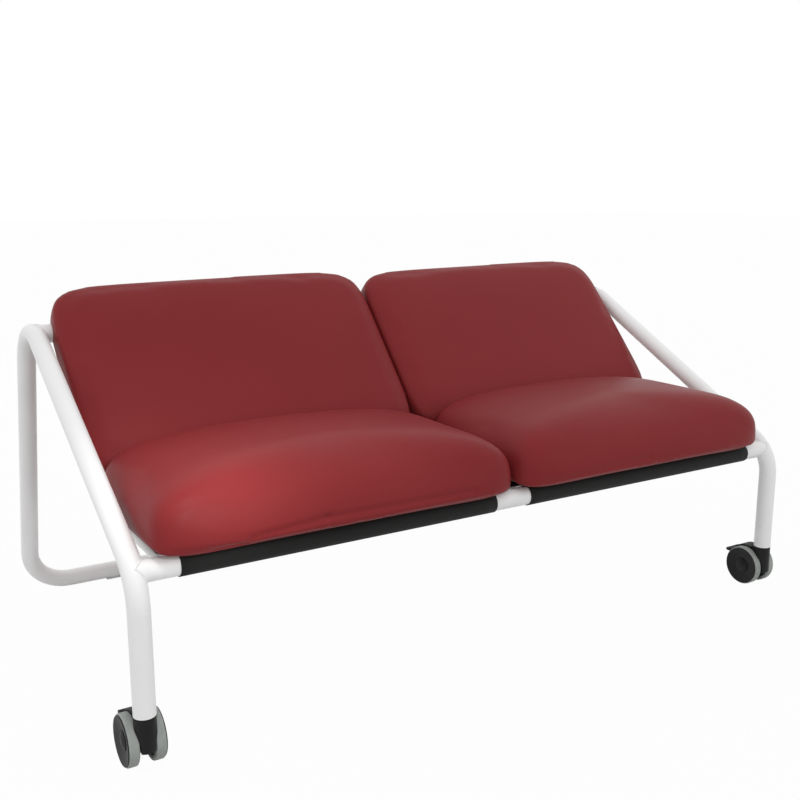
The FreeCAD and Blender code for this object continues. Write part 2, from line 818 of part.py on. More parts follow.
def leg_plug(name):
    """A plug in the leg's end, with a flange over the cut tube and a bore for the stem."""
    body = new_body(name)
    flange = sketch_in(body, "XY_Plane", name + "_flange", size.leg_end_height - size.flange_thickness)
    circle(flange, (0, 0), size.tube_diameter)
    pad(body, flange, size.flange_thickness)
    shank = sketch_in(body, "XY_Plane", name + "_shank", size.leg_end_height)
    circle(shank, (0, 0), tube_bore - 2 * size.plug_clearance)
    pad(body, shank, size.plug_length)
    bore = sketch_in(body, "XY_Plane", name + "_bore", size.leg_end_height)
    circle(bore, (0, 0), size.stem_diameter + 2 * size.running_clearance)
    pocket(body, bore)
    return body


def stem(name):
    """The steel stem, from the housing up into the plug, with chamfered ends."""
    body = new_body(name)
    bottom = size.neck_top - size.stem_depth
    chamfer = size.stem_chamfer
    radius = size.stem_diameter / 2
    top = size.leg_end_height + size.plug_length - chamfer
    half = sketch_in(body, "XZ_Plane", name + "_half")
    outline(half, (
        (0, bottom),
        (radius - chamfer, bottom),
        (radius, bottom + chamfer),
        (radius, top - chamfer),
        (radius - chamfer, top),
        (0, top),
    ))
    feature = body.newObject("PartDesign::Revolution", name + "_turn")
    feature.Profile = half
    feature.ReferenceAxis = (half, ["V_Axis"])
    feature.Angle = 360
    doc.recompute()
    return body


def housing(name):
    """Neck, web and hood in one moulding, cut away round the wheels, with its three bores and lever slot."""
    body = new_body(name)
    axle_spot = (size.trail, size.wheel_radius)
    hood_inner = size.wheel_radius + size.wheel_clearance
    hood = sketch_in(body, "YZ_Plane", name + "_hood")
    for radius in (hood_inner + size.hood_thickness, hood_inner):
        circle(hood, axle_spot, 2 * radius)
    pad(body, hood, size.hood_width, symmetric=True)
    far = size.trail + 2 * size.wheel_diameter
    hood_start = size.tube_radius + size.hood_front
    trim = sketch_in(body, "YZ_Plane", name + "_hood_trim")
    outline(trim, (
        (-far, -far),
        (far, -far),
        (far, size.hood_end_height),
        (hood_start, size.hood_end_height),
        (hood_start, far),
        (-far, far),
    ))
    pocket(body, trim)
    neck = sketch_in(body, "XY_Plane", name + "_neck", size.neck_bottom)
    circle(neck, (0, 0), size.tube_diameter)
    pad(body, neck, size.neck_top - size.neck_bottom)
    for label, lift, reverse in (("right", size.web_width / 2, True), ("left", -size.web_width / 2, False)):
        relief = sketch_in(body, "YZ_Plane", name + "_relief_" + label, lift)
        circle(relief, axle_spot, 2 * hood_inner)
        pocket(body, relief, size.hood_width, reverse)
    pivot_back = size.trail + size.lever_pivot_back
    pivot_up = size.wheel_radius + size.lever_pivot_up
    boss = size.axle_boss_ratio * size.axle_diameter
    lug = size.lever_lug_ratio * size.lever_pin_diameter
    web = sketch_in(body, "YZ_Plane", name + "_web")
    outline(web, (
        (0, size.neck_bottom),
        (size.trail + boss, size.web_bottom, boss),
        (size.trail + boss, pivot_up - 2 * lug, lug),
        (pivot_back + lug, pivot_up - lug, lug / 2),
        (pivot_back + lug, pivot_up + lug, lug / 2),
        (size.trail + boss, size.wheel_radius + hood_inner, lug),
        (0, size.neck_top - size.neck_shoulder),
    ))
    pad(body, web, size.web_width, symmetric=True)
    return body


def bore_housing(body, name):
    """The stem bore from above, the axle and lever pin bores from the side, and the slot for the lever."""
    pivot_back = size.trail + size.lever_pivot_back
    pivot_up = size.wheel_radius + size.lever_pivot_up
    stem_bore = sketch_in(body, "XY_Plane", name + "_stem_bore", size.neck_top)
    circle(stem_bore, (0, 0), size.stem_diameter + 2 * size.running_clearance)
    pocket(body, stem_bore, size.stem_depth + size.swivel_gap)
    axle_bore = sketch_in(body, "YZ_Plane", name + "_axle_bore")
    circle(axle_bore, (size.trail, size.wheel_radius), size.axle_diameter + 2 * size.running_clearance)
    pocket(body, axle_bore)
    pin_bore = sketch_in(body, "YZ_Plane", name + "_pin_bore")
    circle(pin_bore, (pivot_back, pivot_up), size.lever_pin_diameter + 2 * size.running_clearance)
    pocket(body, pin_bore)
    slot = sketch_in(body, "YZ_Plane", name + "_lever_slot", size.lever_width / 2 + size.lever_clearance)
    far = pivot_back + size.pedal_reach + size.pedal_length
    outline(slot, (
        (pivot_back - size.slot_room, pivot_up - size.slot_drop),
        (far, pivot_up - size.slot_drop),
        (far, pivot_up + size.slot_room),
        (pivot_back - size.slot_room, pivot_up + size.slot_room),
    ))
    pocket(body, slot, size.lever_width + 2 * size.lever_clearance)


def brake_lever(name):
    """A narrow arm on the lever pin, and a wide pedal behind the wheels."""
    body = new_body(name)
    pivot_back = size.trail + size.lever_pivot_back
    pivot_up = size.wheel_radius + size.lever_pivot_up
    half = size.pedal_thickness / 2
    eye = size.lever_eye_ratio * size.lever_pin_diameter
    eye_round = size.lever_eye_roundness * eye
    inner_round = size.pedal_roundness * half / 2
    outer_round = size.pedal_roundness * half
    pedal_start = pivot_back + size.pedal_reach
    pedal_end = pedal_start + size.pedal_length
    arm = sketch_in(body, "YZ_Plane", name + "_arm")
    outline(arm, (
        (pivot_back - eye, pivot_up - eye, eye_round),
        (pedal_end - half, pivot_up - half),
        (pedal_end - half, pivot_up + half),
        (pivot_back - eye, pivot_up + eye, eye_round),
    ))
    pad(body, arm, size.lever_width, symmetric=True)
    tread = sketch_in(body, "YZ_Plane", name + "_pedal")
    outline(tread, (
        (pedal_start, pivot_up - half, inner_round),
        (pedal_end, pivot_up - half, outer_round),
        (pedal_end, pivot_up + half, outer_round),
        (pedal_start, pivot_up + half, inner_round),
    ))
    pad(body, tread, size.pedal_width, symmetric=True)
    eye_bore = sketch_in(body, "YZ_Plane", name + "_eye")
    circle(eye_bore, (pivot_back, pivot_up), size.lever_pin_diameter + 2 * size.running_clearance)
    pocket(body, eye_bore)
    return body


def cross_pin(name, diameter, length, spot):
    body = new_body(name)
    end = sketch_in(body, "YZ_Plane", name + "_end")
    circle(end, spot, diameter)
    pad(body, end, length, symmetric=True)
    return body


def wheel_hub(name):
    """Inner boss and rim, with a dished outer disc that stands over the tyre's edge."""
    body = new_body(name)
    half = sketch_in(body, "XZ_Plane", name + "_half")
    bore = size.axle_diameter / 2 + size.running_clearance
    cap_radius = size.cap_diameter / 2 + size.cap_clearance
    seat = size.wheel_width - size.cap_seat
    edge = size.disc_flange / 2
    rim_inner = size.tyre_inner - size.rim_thickness
    outline(half, (
        (0, bore),
        (seat, bore),
        (seat, cap_radius),
        (size.wheel_width - size.disc_dish, cap_radius),
        (size.wheel_width - edge / 2, size.disc_radius - 2 * edge),
        (size.wheel_width, size.disc_radius - edge),
        (size.wheel_width - edge, size.disc_radius),
        (size.disc_start, size.disc_radius),
        (size.disc_start, size.tyre_inner),
        (edge, size.tyre_inner),
        (edge, rim_inner),
        (size.hub_recess, rim_inner - edge),
        (size.hub_recess, size.hub_boss_diameter / 2 + edge),
        (0, size.hub_boss_diameter / 2),
    ))
    turn(body, half)
    return body


def wheel_tyre(name):
    """A grey ring with rounded shoulders, seated on the rim."""
    body = new_body(name)
    half = sketch_in(body, "XZ_Plane", name + "_half")
    inner = size.tyre_inner + size.running_clearance
    start = size.tyre_inset
    end = size.disc_start - size.running_clearance
    shoulder = size.tyre_roundness * size.tyre_thickness
    outline(half, (
        (start, inner),
        (end, inner),
        (end, size.wheel_radius, shoulder),
        (start, size.wheel_radius, shoulder),
    ))
    turn(body, half)
    return body


def hub_cap(name):
    """A low domed cap over the axle's end, pressed into the hub."""
    body = new_body(name)
    half = sketch_in(body, "XZ_Plane", name + "_half")
    start = size.wheel_width - size.cap_seat + size.cap_clearance
    radius = size.cap_diameter / 2
    crest = start + size.cap_rise
    outline(half, (
        (start, 0),
        (start, radius),
        (start + size.cap_rise / 2, radius),
        (crest, size.cap_flatness * radius, size.cap_rise),
        (crest, 0),
    ))
    turn(body, half)
    return body


axle_length = size.wheel_gap + 2 * (size.wheel_width - size.cap_seat)
for side_name, side in SIDES:
    finish(leg_plug(side_name + "_leg_plug"), side_name + "_leg_plug", at_leg(side))
    finish(stem(side_name + "_caster_stem"), side_name + "_caster_stem", at_leg(side))
    housing_name = side_name + "_caster_housing"
    shell = housing(housing_name)
    bore_housing(shell, housing_name)
    finish(shell, housing_name, at_leg(side))
    axle_spot = (size.trail, size.wheel_radius)
    axle = cross_pin(side_name + "_caster_axle", size.axle_diameter, axle_length, axle_spot)
    finish(axle, side_name + "_caster_axle", at_leg(side))
    pin_spot = (size.trail + size.lever_pivot_back, size.wheel_radius + size.lever_pivot_up)
    pin = cross_pin(side_name + "_lever_pin", size.lever_pin_diameter, size.web_width, pin_spot)
    finish(pin, side_name + "_lever_pin", at_leg(side))
    finish(brake_lever(side_name + "_brake_lever"), side_name + "_brake_lever", at_leg(side))
    for wheel_name, way in (("outer", side), ("inner", -side)):
        place = at_leg(
            side,
            across=way * size.wheel_gap.value / 2,
            back=size.trail.value,
            up=size.wheel_radius.value,
            half_turn=way < 0,
        )
        stub = "%s_%s_" % (side_name, wheel_name)
        finish(wheel_hub(stub + "hub"), stub + "hub", place)
        finish(wheel_tyre(stub + "tyre"), stub + "tyre", place)
        finish(hub_cap(stub + "cap"), stub + "cap", place)


# Check every object, then write each sub-part

doc.recompute()
for item in doc.Objects:
    if "Invalid" in item.State or "Error" in item.State:
        raise ValueError("%s did not compute" % item.Label)
os.makedirs("parts", exist_ok=True)
for piece in made:
    if piece.Shape.isNull() or not piece.Shape.isValid():
        raise ValueError("%s has no valid shape" % piece.Label)
for piece in made:
    piece.Shape.exportStep("parts/%s.step" % piece.Label)
print("%d sub-parts" % len(made))
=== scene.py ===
import math

import bpy
import numpy as np
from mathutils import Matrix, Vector
from mathutils.bvhtree import BVHTree
from mathutils.kdtree import KDTree


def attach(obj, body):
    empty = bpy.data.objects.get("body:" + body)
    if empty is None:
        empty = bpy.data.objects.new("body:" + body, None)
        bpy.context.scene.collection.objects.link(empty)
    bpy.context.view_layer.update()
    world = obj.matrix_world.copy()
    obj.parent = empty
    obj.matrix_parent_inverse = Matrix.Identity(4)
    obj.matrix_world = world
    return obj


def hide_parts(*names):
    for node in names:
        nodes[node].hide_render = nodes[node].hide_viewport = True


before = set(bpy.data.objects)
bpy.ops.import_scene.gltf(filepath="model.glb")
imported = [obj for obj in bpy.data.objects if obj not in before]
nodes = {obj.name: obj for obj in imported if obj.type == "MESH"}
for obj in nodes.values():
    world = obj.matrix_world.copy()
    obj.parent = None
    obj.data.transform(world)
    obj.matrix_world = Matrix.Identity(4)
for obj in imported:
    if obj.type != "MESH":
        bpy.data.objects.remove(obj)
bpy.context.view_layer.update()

# Bent frame. Two side tubes, a rear floor tube and two rails of 38 mm steel tube, with four thinner ribs
# under the seats. It is welded and powder-coated white, so the coat is satin with a faint orange peel.


class Wire:
    """A socket of a material's tree. Arithmetic on it adds Math nodes."""

    def __init__(self, tree, socket=None):
        self.tree = tree
        self.socket = socket

    def node(self, kind, settings=None, inputs=None, output=0):
        made = self.tree.nodes.new(kind)
        for name, value in (settings or {}).items():
            setattr(made, name, value)
        for name, value in (inputs or {}).items():
            if isinstance(value, Wire):
                self.tree.links.new(value.socket, made.inputs[name])
            else:
                made.inputs[name].default_value = value
        return Wire(self.tree, made.outputs[output])

    def maths(self, operation, first, second):
        return self.node("ShaderNodeMath", {"operation": operation}, {0: first, 1: second})

    def __add__(self, other):
        return self.maths("ADD", self, other)

    def __radd__(self, other):
        return self.maths("ADD", other, self)

    def __sub__(self, other):
        return self.maths("SUBTRACT", self, other)

    def __rsub__(self, other):
        return self.maths("SUBTRACT", other, self)

    def __mul__(self, other):
        return self.maths("MULTIPLY", self, other)

    def __rmul__(self, other):
        return self.maths("MULTIPLY", other, self)

    def __truediv__(self, other):
        return self.maths("DIVIDE", self, other)

    def __rtruediv__(self, other):
        return self.maths("DIVIDE", other, self)

    def ramped(self, low, high):
        """0 up to low, 1 from high on, and smooth between."""
        return self.node("ShaderNodeMapRange", {"interpolation_type": "SMOOTHSTEP"},
                         {"Value": self, "From Min": low, "From Max": high})

    def mixed(self, first, second):
        """A colour between two, by this value."""
        return self.node("ShaderNodeMix", {"data_type": "RGBA"}, {0: self, 6: first, 7: second}, output=2)


def finish(name, fixed):
    """A new material with a Principled shader: its tree's start, and a way to link what varies."""
    material = bpy.data.materials.new(name)
    material.use_nodes = True
    tree = material.node_tree
    shader = tree.nodes["Principled BSDF"]
    for socket, value in fixed.items():
        shader.inputs[socket].default_value = value
    start = Wire(tree)
    place = start.node("ShaderNodeTexCoord", output=3)

    def vary(**links):
        for socket, wire in links.items():
            tree.links.new(wire.socket, shader.inputs[socket.replace("_", " ")])

    return material, place, vary


def noise(place, scale, detail=2.0, roughness=0.5):
    return place.node("ShaderNodeTexNoise", {"noise_dimensions": "3D"},
                      {"Vector": place, "Scale": scale, "Detail": detail, "Roughness": roughness})


def bump(height, strength, distance):
    return height.node("ShaderNodeBump", None, {"Height": height, "Strength": strength, "Distance": distance})


def coat(piece, material):
    piece.data.materials.clear()
    piece.data.materials.append(material)


powder_white, place, vary = finish("powder_white", {"Specular IOR Level": 0.45})
peel = noise(place, 420, 2.0)
dust = noise(place, 7, 3.0)
vary(
    Base_Color=dust.ramped(0.35, 0.75).mixed((0.88, 0.88, 0.88, 1), (0.85, 0.85, 0.845, 1)),
    Roughness=0.30 + dust * 0.12,
    Normal=bump(peel, 0.10, 0.0004),
)
TUBES = ["left_side_tube", "right_side_tube", "rear_floor_tube", "front_rail", "top_rail"]
RIBS = ["left_outer_rib", "left_inner_rib", "right_inner_rib", "right_outer_rib"]
for name in TUBES + RIBS:
    coat(nodes[name], powder_white)

# Weld beads. The rails are coped to the side tubes and the ribs to the rails, and each joint is welded all
# round. The coat runs over the beads, so only their fine ripple shows.

LEG_LINE = -0.42979
SIDE_PLACE = 0.754
TUBE_RADIUS = 0.019
RIB_RADIUS = 0.011
BEND_RADIUS = 0.092
FRONT_RAIL = (0.0213, 0.3353)
TOP_RAIL = (0.6119, 0.6475)
FRONT_BEND = (0.0920, 0.2764)
TOP_BEND = (0.6256, 0.5565)
KNEE = (0.3380, 0.3433)
BACK_LEAN = math.radians(48)
RIB_PLACES = (-0.700, -0.022, 0.022, 0.700)
ROUND = np.linspace(0, 2 * math.pi, 48, endpoint=False)
BEAD_RADIUS = 0.0018
RIPPLE_PITCH = 0.0024


def back_place(along, outward):
    """Depth and height of a spot on the back: up along the ribs, and out in front of their axes."""
    return (KNEE[0] + along * math.cos(BACK_LEAN) - outward * math.sin(BACK_LEAN),
            KNEE[1] + along * math.sin(BACK_LEAN) + outward * math.cos(BACK_LEAN))


def piece_from(name, points, faces, edges=()):
    mesh = bpy.data.meshes.new(name)
    mesh.from_pydata([tuple(point) for point in points], list(edges), faces)
    mesh.update()
    piece = bpy.data.objects.new(name, mesh)
    bpy.context.scene.collection.objects.link(piece)
    return piece


def baked(piece):
    """The piece with its modifiers applied to its mesh."""
    mesh = bpy.data.meshes.new_from_object(piece.evaluated_get(bpy.context.evaluated_depsgraph_get()))
    piece.modifiers.clear()
    piece.data = mesh
    return piece


def loops_piece(name, loops):
    """Closed lines through each loop's points, for a tree to build on."""
    points = []
    edges = []
    for loop in loops:
        first = len(points)
        points += [tuple(point) for point in loop]
        edges += [(first + i, first + (i + 1) % len(loop)) for i in range(len(loop))]
    return piece_from(name, points, [], edges)


def grow(piece, tree, **inputs):
    """Run a tree on the piece with its named inputs set, and keep the plain mesh."""
    growth = piece.modifiers.new("growth", "NODES")
    growth.node_group = tree
    for item in tree.interface.items_tree:
        key = item.name.replace(" ", "_").lower()
        if item.in_out == "INPUT" and key in inputs:
            growth[item.identifier] = inputs[key]
    return baked(piece)


def growing_tree(name, sizes):
    """An empty tree with a geometry in and out, its sizes and a material as named inputs."""
    tree = bpy.data.node_groups.new(name, "GeometryNodeTree")
    tree.interface.new_socket("Lines", in_out="INPUT", socket_type="NodeSocketGeometry")
    for size_name in sizes:
        tree.interface.new_socket(size_name, in_out="INPUT", socket_type="NodeSocketFloat")
    tree.interface.new_socket("Finish", in_out="INPUT", socket_type="NodeSocketMaterial")
    tree.interface.new_socket("Piece", in_out="OUTPUT", socket_type="NodeSocketGeometry")
    given = tree.nodes.new("NodeGroupInput")
    start = Wire(tree)
    return tree, start, {socket.name: Wire(tree, socket) for socket in given.outputs if socket.name}


def end_tree(tree, start, shape, material):
    """Smooth, realised and with its material: the end of every growing tree."""
    smooth = start.node("GeometryNodeSetShadeSmooth", None, {0: shape})
    real = start.node("GeometryNodeRealizeInstances", None, {0: smooth})
    dressed = start.node("GeometryNodeSetMaterial", None, {"Geometry": real, "Material": material})
    result = tree.nodes.new("NodeGroupOutput")
    tree.links.new(dressed.socket, result.inputs[0])


bead_tree, start, given = growing_tree("weld_bead", ("Bead radius", "Ripple pitch"))
lines = start.node("GeometryNodeMeshToCurve", None, {0: given["Lines"]})
even_lines = start.node("GeometryNodeResampleCurve", {"mode": "LENGTH"},
                        {"Curve": lines, "Length": given["Ripple pitch"] * 0.25})
run = start.node("GeometryNodeSplineParameter", output=1)
turn = run * (2 * math.pi) / given["Ripple pitch"]
ripple = given["Bead radius"] * (0.94 + 0.06 * start.node("ShaderNodeMath", {"operation": "SINE"}, {0: turn}))
ring = start.node("GeometryNodeCurvePrimitiveCircle", None, {"Resolution": 8, "Radius": 1.0})
bead = start.node("GeometryNodeCurveToMesh", None,
                  {"Curve": even_lines, "Profile Curve": ring, "Scale": ripple})
end_tree(bead_tree, start, bead, given["Finish"])


def rail_joint(rail, bend, side):
    """Where a rail meets a side tube: both have the same radius, so the line is a saddle."""
    depth = rail[0] + TUBE_RADIUS * np.cos(ROUND)
    height = rail[1] + TUBE_RADIUS * np.sin(ROUND)
    off = np.hypot(depth - bend[0], height - bend[1]) - BEND_RADIUS
    across = side * (SIDE_PLACE - np.sqrt(np.clip(TUBE_RADIUS ** 2 - off ** 2, 0, None)))
    return np.stack([across, depth + LEG_LINE, height], axis=1)


def rib_joint(place, front):
    """Where a rib's end meets the front rail or the top rail."""
    across = place + RIB_RADIUS * np.cos(ROUND)
    lift = RIB_RADIUS * np.sin(ROUND)
    if front:
        height = KNEE[1] + lift
        depth = FRONT_RAIL[0] + np.sqrt(np.clip(TUBE_RADIUS ** 2 - (height - FRONT_RAIL[1]) ** 2, 0, None))
    else:
        top = (TOP_RAIL[1] - KNEE[1]) / math.sin(BACK_LEAN)
        depth, height = back_place(top - np.sqrt(TUBE_RADIUS ** 2 - lift ** 2), lift)
    return np.stack([across, depth + LEG_LINE, height], axis=1)


joints = [rail_joint(rail, bend, side) for rail, bend in ((FRONT_RAIL, FRONT_BEND), (TOP_RAIL, TOP_BEND))
          for side in (-1, 1)]
joints += [rib_joint(place, front) for place in RIB_PLACES for front in (True, False)]
beads = loops_piece("weld_beads", joints)
grow(beads, bead_tree, bead_radius=BEAD_RADIUS, ripple_pitch=RIPPLE_PITCH, finish=powder_white)
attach(beads, "frame")

# Joint spigots. Short lengths of zinc-plated steel tube that join the rear floor tube to the side tubes. They
# slide into both tubes and are hidden once the frame is together.

zinc, place, vary = finish("zinc_plate", {"Metallic": 1.0})
grain = noise(place, 180, 3.0)
vary(
    Base_Color=grain.mixed((0.50, 0.50, 0.52, 1), (0.64, 0.64, 0.63, 1)),
    Roughness=0.28 + grain * 0.18,
    Normal=bump(grain, 0.08, 0.0003),
)
coat(nodes["rear_leg_spigots"], zinc)

# Floor glides. Four pale nylon pads under the rear rail. Each has a saddle that fits the tube, and a peg that
# is pressed into a hole in it.

pale_nylon, place, vary = finish("pale_nylon", {"Specular IOR Level": 0.35, "Subsurface Weight": 0.08})
scuff = noise(place, 90, 4.0)
vary(
    Base_Color=scuff.ramped(0.45, 0.8).mixed((0.70, 0.70, 0.68, 1), (0.58, 0.58, 0.56, 1)),
    Roughness=0.40 + scuff * 0.20,
    Normal=bump(scuff, 0.06, 0.0003),
)
coat(nodes["floor_glides"], pale_nylon)

# Slings. One black woven sheet under each seat and back, sewn into a sleeve round the front rail and the top
# rail and stretched over the ribs. Only the front sleeves show from the front.

SEAT_CENTRE = 0.361
SLEEVE_RADIUS = 0.02005
SLING_RISE = 0.0122
SLING_HALF = 0.349
SLEEVE_HALF = 0.319
KNEE_RADIUS = 0.0678
SLEEVE_LAP = 0.014
KNEE_LAP = 0.02
TOP_LAP = 0.03
SHEET_WALL = 0.0015
SHEET_COLUMNS = 24
THREAD_SCALE = 230.0


def round_rail(rail, first, last, count):
    turns = np.radians(np.linspace(first, last, count))
    return [(rail[0] + SLEEVE_RADIUS * math.cos(t), rail[1] + SLEEVE_RADIUS * math.sin(t)) for t in turns]


def sling_route():
    """The sheet's run in side view, with its half width at each spot."""
    run = [(spot, SLEEVE_HALF) for spot in round_rail(FRONT_RAIL, 30, -270, 46)]
    level = KNEE[1] + SLING_RISE
    setback = KNEE_RADIUS * math.tan(BACK_LEAN / 2)
    bend = KNEE[0] - SLING_RISE * math.tan(BACK_LEAN / 2) - setback
    for depth in np.linspace(FRONT_RAIL[0] + SLEEVE_LAP, bend, 22):
        run.append(((depth, level), SLING_HALF))
    for turn in np.linspace(0, BACK_LEAN, 12)[1:]:
        spot = (bend + KNEE_RADIUS * math.sin(turn), level + KNEE_RADIUS * (1 - math.cos(turn)))
        run.append((spot, SLING_HALF))
    rail_along = (TOP_RAIL[1] - KNEE[1]) / math.sin(BACK_LEAN)
    for along in np.linspace(setback + KNEE_LAP, rail_along - TOP_LAP, 20):
        run.append((back_place(along, SLING_RISE), SLING_HALF))
    run += [(spot, SLEEVE_HALF) for spot in round_rail(TOP_RAIL, 190, -110, 40)]
    return run


sling_black, place, vary = finish("sling_black", {"Specular IOR Level": 0.25})
cloth = place.node("ShaderNodeUVMap", {"uv_map": "weave"})


def threads(direction):
    return cloth.node("ShaderNodeTexWave", {"wave_type": "BANDS", "bands_direction": direction},
                      {"Vector": cloth, "Scale": THREAD_SCALE, "Distortion": 0.5, "Detail": 1.0,
                       "Detail Scale": 2.0})


weave = cloth.maths("MAXIMUM", threads("X"), threads("Y"))
fade = noise(place, 14, 3.0)
vary(
    Base_Color=(weave * 0.6 + fade * 0.4).mixed((0.005, 0.005, 0.005, 1), (0.020, 0.020, 0.019, 1)),
    Roughness=0.60 + weave * 0.2,
    Normal=bump(weave, 0.35, 0.0004),
)
route = sling_route()
distance = np.cumsum([0.0] + [math.dist(a[0], b[0]) for a, b in zip(route, route[1:])])
wide = SHEET_COLUMNS + 1
corners = [row * wide + column for row in range(len(route) - 1) for column in range(SHEET_COLUMNS)]
faces = [(corner, corner + 1, corner + wide + 1, corner + wide) for corner in corners]
for side_name, side in (("left", -1), ("right", 1)):
    points = []
    for (depth, height), half in route:
        for share in np.linspace(-1, 1, wide):
            points.append((side * SEAT_CENTRE + share * half, depth + LEG_LINE, height))
    sling = piece_from(side_name + "_sling_sheet", points, faces)
    weave_map = sling.data.uv_layers.new(name="weave")
    for corner in sling.data.loops:
        row, column = divmod(corner.vertex_index, wide)
        weave_map.data[corner.index].uv = ((column / SHEET_COLUMNS * 2 - 1) * route[row][1], distance[row])
    wall = sling.modifiers.new("wall", "SOLIDIFY")
    wall.thickness = SHEET_WALL
    wall.offset = 0
    baked(sling)
    sling.data.shade_smooth()
    coat(sling, sling_black)
    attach(sling, "frame")
    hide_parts(side_name + "_sling")

# Seat cushions. Foam in a smooth dark red leather cover, loose on the slings. The top is crowned both ways,
# the nose hangs a little over the front rail and the cover is gathered into a seam low on the front.

leather_red, place, vary = finish("leather_red", {"Specular IOR Level": 0.09})
pebble = place.node("ShaderNodeTexVoronoi", {"feature": "DISTANCE_TO_EDGE"},
                    {"Vector": place, "Scale": 520.0})
crease = pebble.ramped(0.0, 0.12)
pores = noise(place, 2200, 2.0)
tone = noise(place, 5, 3.0)
vary(
    Base_Color=(tone * 0.7 + crease * 0.3).mixed((0.197, 0.0185, 0.0205, 1), (0.237, 0.0265, 0.0285, 1)),
    Roughness=0.39 + tone * 0.10 - crease * 0.05,
    Normal=bump(crease * 0.7 + pores * 0.3, 0.10, 0.0005),
)


def skin_spot(turn, rise, plan, fullness):
    """A spot of a cover over unit half sizes, by its turn round the cushion and its rise from the rim.
    plan: how square the outline is near the crown, at the rim across and in depth, and near the base.
    fullness: how full the cover is towards the front, the sides and the rear, and below the rim."""
    right, rear = np.cos(turn), np.sin(turn)
    front, sides, back, below = fullness
    above = np.where(rear < 0, front, back) * rear ** 2 + sides * right ** 2
    power = np.where(rise > 0, above, below)
    reach = np.cos(rise) ** (2 / power)
    lift = np.sign(rise) * np.abs(np.sin(rise)) ** (2 / power)
    crown, across, deep, base = plan
    end = np.where(rise > 0, crown, base)
    x = reach * np.sign(right) * np.abs(right) ** (2 / (end + (across - end) * reach ** 3))
    y = reach * np.sign(rear) * np.abs(rear) ** (2 / (end + (deep - end) * reach ** 3))
    return x, y, lift


def skin(form, plan, fullness, around=220, over=48):
    """A closed cover: turns round it from its base to its crown, put in place by form."""
    turn = np.linspace(0, 2 * math.pi, around, endpoint=False)
    rise = np.linspace(-math.pi / 2, math.pi / 2, over + 1)[1:-1]
    turn, rise = (grid.ravel() for grid in np.meshgrid(turn, rise))
    x, y, lift = skin_spot(turn, rise, plan, fullness)
    points = form(np.append(x, [0, 0]), np.append(y, [0, 0]), np.append(lift, [-1, 1]))
    base, crest = len(points) - 2, len(points) - 1
    rows = over - 1
    faces = []
    for column in range(around):
        beside = (column + 1) % around
        faces.append((base, beside, column))
        for row in range(rows - 1):
            low, high = row * around, (row + 1) * around
            faces.append((low + column, low + beside, high + beside, high + column))
        high = (rows - 1) * around
        faces.append((high + column, high + beside, crest))
    return points, faces


def spots_of(mesh):
    spots = np.zeros(len(mesh.vertices) * 3)
    mesh.vertices.foreach_get("co", spots)
    return spots.reshape(-1, 3)


def eased(field, pairs, rounds):
    """Each vertex's value, drawn towards its neighbours'."""
    share = np.bincount(pairs.ravel(), minlength=len(field))[:, None]
    for _ in range(rounds):
        near = np.zeros_like(field)
        np.add.at(near, pairs[:, 0], field[pairs[:, 1]])
        np.add.at(near, pairs[:, 1], field[pairs[:, 0]])
        field = 0.5 * field + 0.5 * near / share
    return field


COVER_VOXEL = 0.0064
COVER_SWELL = 0.005
START_SHARE = 0.15
CLOTH_STEPS = 20


def stuffed(name, points, faces, held, most):
    """Fill a cover: remesh it, blow it up as cloth with its contact held, and cap how far it swells."""
    cover = piece_from(name, points, faces)
    even = cover.modifiers.new("even", "REMESH")
    even.mode = "VOXEL"
    even.voxel_size = COVER_VOXEL
    baked(cover)
    pairs = np.array([edge.vertices[:] for edge in cover.data.edges])
    start = eased(spots_of(cover.data), pairs, 3)
    cover.data.vertices.foreach_set("co", start.ravel())
    cover.data.update()
    outward = np.zeros(len(start) * 3)
    cover.data.vertices.foreach_get("normal", outward)
    outward = outward.reshape(-1, 3)
    start = start - START_SHARE * most * outward
    cover.data.vertices.foreach_set("co", start.ravel())
    group = cover.vertex_groups.new(name="held")
    for index, weight in enumerate(held(start)):
        if weight > 0.01:
            group.add([index], float(weight), "REPLACE")
    cloth = cover.modifiers.new("cloth", "CLOTH")
    cloth.settings.vertex_group_mass = "held"
    cloth.settings.quality = 4
    cloth.settings.mass = 0.4
    cloth.settings.tension_stiffness = 25
    cloth.settings.compression_stiffness = 25
    cloth.settings.shear_stiffness = 10
    cloth.settings.bending_stiffness = 4
    cloth.settings.use_pressure = True
    cloth.settings.uniform_pressure_force = 4
    cloth.settings.effector_weights.gravity = 0
    cloth.point_cache.frame_start = 1
    cloth.point_cache.frame_end = CLOTH_STEPS
    scene = bpy.context.scene
    for step in range(1, CLOTH_STEPS + 1):
        scene.frame_set(step)
    blown = cover.evaluated_get(bpy.context.evaluated_depsgraph_get()).to_mesh()
    swell = np.sum((spots_of(blown) - start) * outward, axis=1, keepdims=True)
    swell = eased(np.clip(swell, 0, most), pairs, 10)
    cover.modifiers.clear()
    cover.vertex_groups.clear()
    scene.frame_set(1)
    cover.data.vertices.foreach_set("co", (start + swell * outward).ravel())
    finer = cover.modifiers.new("finer", "SUBSURF")
    finer.levels = finer.render_levels = 1
    baked(cover)
    cover.data.shade_smooth()
    return cover


def pressed(cover, line, depth, width):
    """Draw the cover in along a line of points, as a seam or a fold does."""
    tree = KDTree(len(line))
    for index, point in enumerate(line):
        tree.insert(point, index)
    tree.balance()
    mesh = cover.data
    spots = spots_of(mesh)
    normals = np.zeros(len(spots) * 3)
    mesh.vertices.foreach_get("normal", normals)
    away = np.array([tree.find(spot)[2] for spot in spots])
    spots -= normals.reshape(-1, 3) * (depth * np.exp(-(away / width) ** 2))[:, None]
    mesh.vertices.foreach_set("co", spots.ravel())
    mesh.update()


